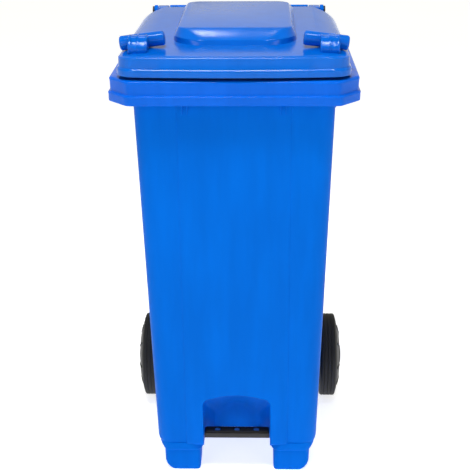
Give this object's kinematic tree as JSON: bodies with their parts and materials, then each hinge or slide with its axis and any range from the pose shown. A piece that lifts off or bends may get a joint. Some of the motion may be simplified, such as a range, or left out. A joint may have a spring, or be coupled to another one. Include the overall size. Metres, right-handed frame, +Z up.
{
  "type": "wheelie bin",
  "caption": "Two-wheeled household waste bin with tapered plastic tub, hinged lid with raised panel and corner grips, and a foot pedal that lifts the lid.",
  "frame": {"origin": "on the floor, in the middle of the bin's plan (bounding box bottom centre)", "axes": "+X to the right, seen from the front; +Y to the back, where the wheels and the handle are; +Z up"},
  "size_m": [0.493, 0.55, 0.9562],
  "materials": {
    "tub_plastic": "moulded, smooth",
    "lid_plastic": "moulded, smooth",
    "black_plastic": "moulded, satin",
    "black_steel": "black coated",
    "steel": "zinc plated",
    "tyre": "solid rubber, matt",
    "rubber": "moulded, matt"
  },
  "bodies": {
    "tub": {"body": "tub_plastic", "hinge_pins": "black_plastic", "axle": "steel", "axle_washers": "black_plastic", "axle_clips": "steel", "pivot_pin": "steel", "pivot_clips": "steel", "rod_guide": "black_plastic", "guide_screws": "steel", "lid_buffers": "rubber"},
    "lid": {"lid": "lid_plastic", "lid_bracket": "black_steel", "bracket_screws": "steel"},
    "left_wheel": {"wheel_left": "black_plastic", "tyre_left": "tyre", "hub_cap_left": "black_plastic"},
    "right_wheel": {"wheel_right": "black_plastic", "tyre_right": "tyre", "hub_cap_right": "black_plastic"},
    "pedal": {"pedal_tread": "black_plastic", "pedal_pad": "rubber", "pedal_bolts": "steel", "pedal_lever": "black_steel"},
    "rod": {"push_rod": "steel", "rod_foot": "black_plastic", "rod_pin": "steel"}
  },
  "joints": [
    {"name": "lid_hinge", "type": "hinge", "parent": "tub", "child": "lid", "pos_m": [0, 0.25, 0.93], "axis": [-1, 0, 0], "range_deg": [0, 75]},
    {"name": "pedal_pivot", "type": "hinge", "parent": "tub", "child": "pedal", "pos_m": [0, 0.02, 0.046], "axis": [1, 0, 0], "range_deg": [0, 11.5]},
    {"name": "rod_slide", "type": "slide", "parent": "tub", "child": "rod", "axis": [0, 0, 1], "range_m": [0, 0.0415]},
    {"name": "left_wheel_spin", "type": "hinge", "parent": "tub", "child": "left_wheel", "pos_m": [-0.22, 0.175, 0.1], "axis": [1, 0, 0], "continuous": true},
    {"name": "right_wheel_spin", "type": "hinge", "parent": "tub", "child": "right_wheel", "pos_m": [0.22, 0.175, 0.1], "axis": [1, 0, 0], "continuous": true}
  ],
  "couplings": [
    {"joint": "pedal_pivot", "follows": "lid_hinge", "ratio": 0.15333},
    {"joint": "rod_slide", "follows": "lid_hinge", "m_per_rad": 0.03165}
  ]
}
